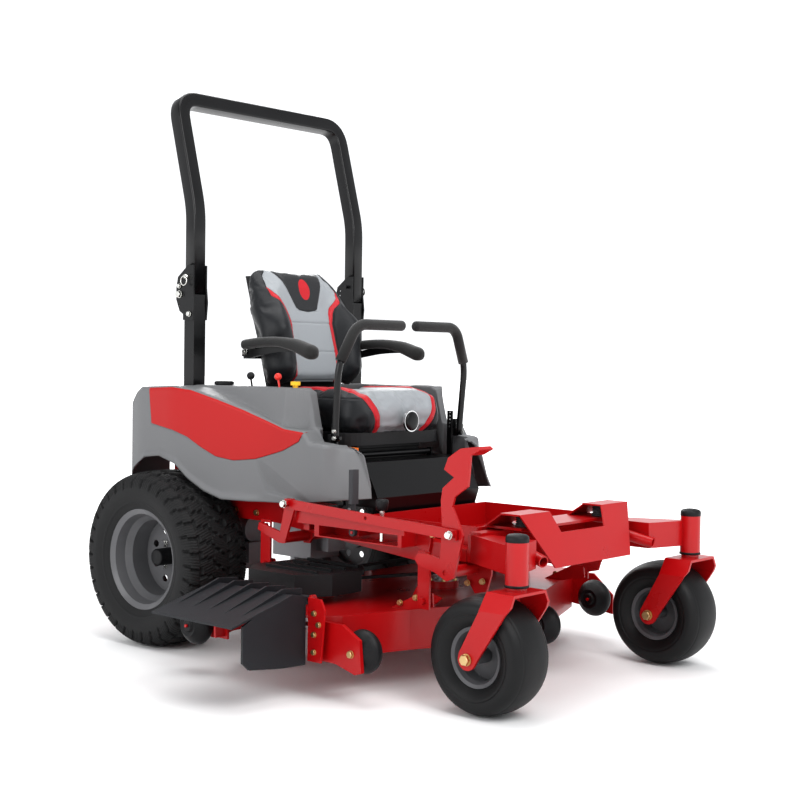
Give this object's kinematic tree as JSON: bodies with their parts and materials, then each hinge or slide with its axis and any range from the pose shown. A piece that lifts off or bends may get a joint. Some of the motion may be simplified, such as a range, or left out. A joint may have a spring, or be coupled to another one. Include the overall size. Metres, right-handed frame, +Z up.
{
  "type": "zero turn mower",
  "caption": "Ride-on zero turn mower with side-discharge deck, roll bar, suspended seat, twin hand levers and swivelling front casters.",
  "frame": {"origin": "ground level under the centre of the footprint box", "axes": "+X forward, +Y to the left of the seated operator, +Z up"},
  "size_m": [1.959, 1.671, 1.8725],
  "materials": {
    "red_frame": "gloss powder coat",
    "mount_black": "satin powder coat",
    "black_frame": "gloss powder coat",
    "fender_grey": "moulded satin",
    "panel_red": "moulded gloss",
    "boot_rubber": "matt",
    "engine_metal": "cast",
    "engine_black": "moulded",
    "muffler_steel": "heat dulled",
    "black_plastic": "moulded",
    "red_plastic": "gloss",
    "yellow_plastic": "gloss",
    "orange_plastic": "gloss",
    "steel": "machined",
    "tyre": "moulded rubber",
    "rim_grey": "satin paint",
    "belt_rubber": "matt",
    "roller_black": "moulded",
    "zinc": "bright zinc",
    "brake_grey": "dipped grip",
    "lever_black": "gloss tube, foam grip",
    "seat_vinyl": "vinyl",
    "armrest_black": "moulded foam skin",
    "knob_chrome": "chrome ring"
  },
  "bodies": {
    "chassis": {"main_rails": "red_frame", "rear_frame": "red_frame", "front_frame": "red_frame", "foot_pan": "red_frame", "foot_plate": "red_frame", "foot_boots": "boot_rubber", "seat_box": "black_frame", "rops_posts": "black_frame", "fender_right": "fender_grey", "fender_left": "fender_grey", "side_panels": "panel_red", "engine_block": "engine_metal", "engine_cover": "engine_black", "muffler": "muffler_steel", "transaxles": "engine_metal"},
    "wheel_right": {"rear_tyre_right": "tyre", "rear_rim_right": "rim_grey"},
    "wheel_left": {"rear_tyre_left": "tyre", "rear_rim_left": "rim_grey"},
    "caster_right": {"caster_fork_right": "red_frame"},
    "caster_left": {"caster_fork_left": "red_frame"},
    "caster_wheel_right": {"caster_tyre_right": "tyre", "caster_rim_right": "rim_grey"},
    "caster_wheel_left": {"caster_tyre_left": "tyre", "caster_rim_left": "rim_grey"},
    "roll_bar": {"rops_hoop": "black_frame"},
    "deck": {"deck_shell": "red_frame", "lift_links": "red_frame", "belt_covers": "black_plastic", "deck_belt": "belt_rubber"},
    "chute": {"discharge_chute": "black_plastic"},
    "blade_right": {"spindle_right": "steel"},
    "blade_centre": {"spindle_centre": "steel"},
    "blade_left": {"spindle_left": "steel"},
    "roller_front_right": {"roller_right": "roller_black"},
    "roller_front_left": {"roller_left": "roller_black"},
    "roller_front_centre": {"roller_centre": "roller_black"},
    "roller_rear_pair": {"rollers_rear": "roller_black"},
    "pedal": {"front_lift_crank": "red_frame"},
    "rear_crank": {"rear_lift_crank": "red_frame"},
    "rod": {"lift_rod": "red_frame"},
    "height_stop": {"height_pin": "zinc"},
    "brake": {"parking_brake": "brake_grey"},
    "drive_mount_right": {"control_mount_right": "mount_black"},
    "drive_mount_left": {"control_mount_left": "mount_black"},
    "drive_lever_right": {"control_lever_right": "lever_black"},
    "drive_lever_left": {"control_lever_left": "lever_black"},
    "seat_tilt_base": {"seat_base": "black_frame"},
    "seat": {"seat_pan": "black_plastic", "seat_cushion": "seat_vinyl", "seat_back": "seat_vinyl"},
    "arm_right": {"armrest_right": "armrest_black"},
    "arm_left": {"armrest_left": "armrest_black"},
    "weight_knob": {"seat_knob": "knob_chrome"},
    "seat_adjuster": {"seat_latch": "orange_plastic"},
    "throttle": {"throttle_lever": "black_plastic"},
    "choke": {"choke_lever": "red_plastic"},
    "blade_switch": {"pto_switch": "yellow_plastic"},
    "filler_cap": {"fuel_cap": "black_plastic"},
    "engine_pulley": {"pto_pulley": "steel"}
  },
  "joints": [
    {"name": "wheel_right_spin", "type": "hinge", "parent": "chassis", "child": "wheel_right", "pos_m": [-0.5495, -0.3305, 0.292], "axis": [0, 1, 0], "continuous": true},
    {"name": "caster_right_swivel", "type": "hinge", "parent": "chassis", "child": "caster_right", "pos_m": [0.9045, -0.3135, 0.42], "axis": [0, 0, 1], "continuous": true},
    {"name": "caster_wheel_right_spin", "type": "hinge", "parent": "caster_right", "child": "caster_wheel_right", "pos_m": [0.8145, -0.3135, 0.165], "axis": [0, 1, 0], "continuous": true},
    {"name": "drive_lever_right_push", "type": "hinge", "parent": "chassis", "child": "drive_mount_right", "pos_m": [0.0505, -0.1285, 0.62], "axis": [0, 1, 0], "range_deg": [-12, 12], "stiffness_Nm_per_rad": 60},
    {"name": "drive_lever_right_swing", "type": "hinge", "parent": "drive_mount_right", "child": "drive_lever_right", "pos_m": [0.0745, -0.1555, 0.716], "axis": [1, 0, 0], "range_deg": [0, 25]},
    {"name": "armrest_right_raise", "type": "hinge", "parent": "seat", "child": "arm_right", "pos_m": [-0.3995, -0.1025, 0.985], "axis": [0, -1, 0], "range_deg": [0, 85]},
    {"name": "wheel_left_spin", "type": "hinge", "parent": "chassis", "child": "wheel_left", "pos_m": [-0.5495, 0.6295, 0.292], "axis": [0, 1, 0], "continuous": true},
    {"name": "caster_left_swivel", "type": "hinge", "parent": "chassis", "child": "caster_left", "pos_m": [0.9045, 0.6125, 0.42], "axis": [0, 0, 1], "continuous": true},
    {"name": "caster_wheel_left_spin", "type": "hinge", "parent": "caster_left", "child": "caster_wheel_left", "pos_m": [0.8145, 0.6125, 0.165], "axis": [0, 1, 0], "continuous": true},
    {"name": "drive_lever_left_push", "type": "hinge", "parent": "chassis", "child": "drive_mount_left", "pos_m": [0.0505, 0.4275, 0.62], "axis": [0, 1, 0], "range_deg": [-12, 12], "stiffness_Nm_per_rad": 60},
    {"name": "drive_lever_left_swing", "type": "hinge", "parent": "drive_mount_left", "child": "drive_lever_left", "pos_m": [0.0745, 0.4545, 0.716], "axis": [-1, 0, 0], "range_deg": [0, 25]},
    {"name": "armrest_left_raise", "type": "hinge", "parent": "seat", "child": "arm_left", "pos_m": [-0.3995, 0.4015, 0.985], "axis": [0, -1, 0], "range_deg": [0, 85]},
    {"name": "roll_bar_fold", "type": "hinge", "parent": "chassis", "child": "roll_bar", "pos_m": [-0.5605, 0.1495, 1.177], "axis": [0, -1, 0], "range_deg": [0, 95]},
    {"name": "deck_lift", "type": "slide", "parent": "chassis", "child": "deck", "axis": [0, 0, 1], "range_m": [-0.075, 0]},
    {"name": "pedal_swing", "type": "hinge", "parent": "chassis", "child": "pedal", "pos_m": [0.6295, 0.1495, 0.365], "axis": [0, 1, 0], "range_deg": [-44, 0.5]},
    {"name": "rear_crank_swing", "type": "hinge", "parent": "chassis", "child": "rear_crank", "pos_m": [-0.0375, 0.1495, 0.399], "axis": [0, 1, 0], "range_deg": [-44, 0.5]},
    {"name": "rod_swing", "type": "hinge", "parent": "pedal", "child": "rod", "pos_m": [0.6645, -0.2825, 0.478], "axis": [0, 1, 0], "range_deg": [-0.5, 44]},
    {"name": "chute_raise", "type": "hinge", "parent": "deck", "child": "chute", "pos_m": [0.1505, -0.5385, 0.282], "axis": [-1, 0, 0], "range_deg": [0, 80]},
    {"name": "blade_right_spin", "type": "hinge", "parent": "deck", "child": "blade_right", "pos_m": [0.1005, -0.2605, 0.2], "axis": [0, 0, 1], "continuous": true},
    {"name": "blade_centre_spin", "type": "hinge", "parent": "deck", "child": "blade_centre", "pos_m": [0.2625, 0.1495, 0.2], "axis": [0, 0, 1], "continuous": true},
    {"name": "blade_left_spin", "type": "hinge", "parent": "deck", "child": "blade_left", "pos_m": [0.1005, 0.5595, 0.2], "axis": [0, 0, 1], "continuous": true},
    {"name": "engine_pulley_spin", "type": "hinge", "parent": "chassis", "child": "engine_pulley", "pos_m": [-0.6095, 0.1495, 0.42], "axis": [0, 0, 1], "continuous": true},
    {"name": "roller_front_right_spin", "type": "hinge", "parent": "deck", "child": "roller_front_right", "pos_m": [0.4955, -0.474, 0.148], "axis": [0, 1, 0], "continuous": true},
    {"name": "roller_front_left_spin", "type": "hinge", "parent": "deck", "child": "roller_front_left", "pos_m": [0.4625, 0.741, 0.148], "axis": [0, 1, 0], "continuous": true},
    {"name": "roller_front_centre_spin", "type": "hinge", "parent": "deck", "child": "roller_front_centre", "pos_m": [0.6145, 0.2215, 0.148], "axis": [0, 1, 0], "continuous": true},
    {"name": "roller_rear_pair_spin", "type": "hinge", "parent": "deck", "child": "roller_rear_pair", "pos_m": [-0.1375, -0.5445, 0.148], "axis": [0, 1, 0], "continuous": true},
    {"name": "height_pin_pull", "type": "slide", "parent": "chassis", "child": "height_stop", "axis": [0, 0, 1], "range_m": [0, 0.05]},
    {"name": "parking_brake_push", "type": "hinge", "parent": "chassis", "child": "brake", "pos_m": [0.2405, -0.2525, 0.441], "axis": [0, 1, 0], "range_deg": [0, 24]},
    {"name": "seat_tilt", "type": "hinge", "parent": "chassis", "child": "seat_tilt_base", "pos_m": [0.0445, 0.1495, 0.655], "axis": [0, 1, 0], "range_deg": [0, 15]},
    {"name": "seat_suspension", "type": "slide", "parent": "seat_tilt_base", "child": "seat", "axis": [0, 0, 1], "range_m": [-0.015, 0], "stiffness_N_per_m": 6000, "springref_m": 0.105},
    {"name": "weight_knob_turn", "type": "hinge", "parent": "seat", "child": "weight_knob", "pos_m": [0.1185, 0.1495, 0.764], "axis": [1, 0, 0], "continuous": true},
    {"name": "seat_adjuster_slide", "type": "slide", "parent": "seat", "child": "seat_adjuster", "axis": [0, 1, 0], "range_m": [0, 0.012]},
    {"name": "throttle_push", "type": "hinge", "parent": "chassis", "child": "throttle", "pos_m": [-0.2695, -0.2025, 0.8], "axis": [0, 1, 0], "range_deg": [-12, 12]},
    {"name": "choke_push", "type": "hinge", "parent": "chassis", "child": "choke", "pos_m": [-0.1395, -0.2025, 0.8], "axis": [0, 1, 0], "range_deg": [-12, 12]},
    {"name": "blade_switch_pull", "type": "slide", "parent": "chassis", "child": "blade_switch", "axis": [0, 0, 1], "range_m": [0, 0.012]},
    {"name": "filler_cap_turn", "type": "hinge", "parent": "chassis", "child": "filler_cap", "pos_m": [-0.4095, -0.2025, 0.875], "axis": [0, 0, 1], "range_deg": [0, 90]}
  ],
  "couplings": [
    {"joint": "pedal_swing", "follows": "deck_lift", "rad_per_m": 10.169},
    {"joint": "rear_crank_swing", "follows": "deck_lift", "rad_per_m": 10.169},
    {"joint": "rod_swing", "follows": "deck_lift", "rad_per_m": -10.169},
    {"joint": "blade_right_spin", "follows": "blade_centre_spin", "ratio": 1},
    {"joint": "blade_left_spin", "follows": "blade_centre_spin", "ratio": 1},
    {"joint": "engine_pulley_spin", "follows": "blade_centre_spin", "ratio": 1.1154}
  ]
}
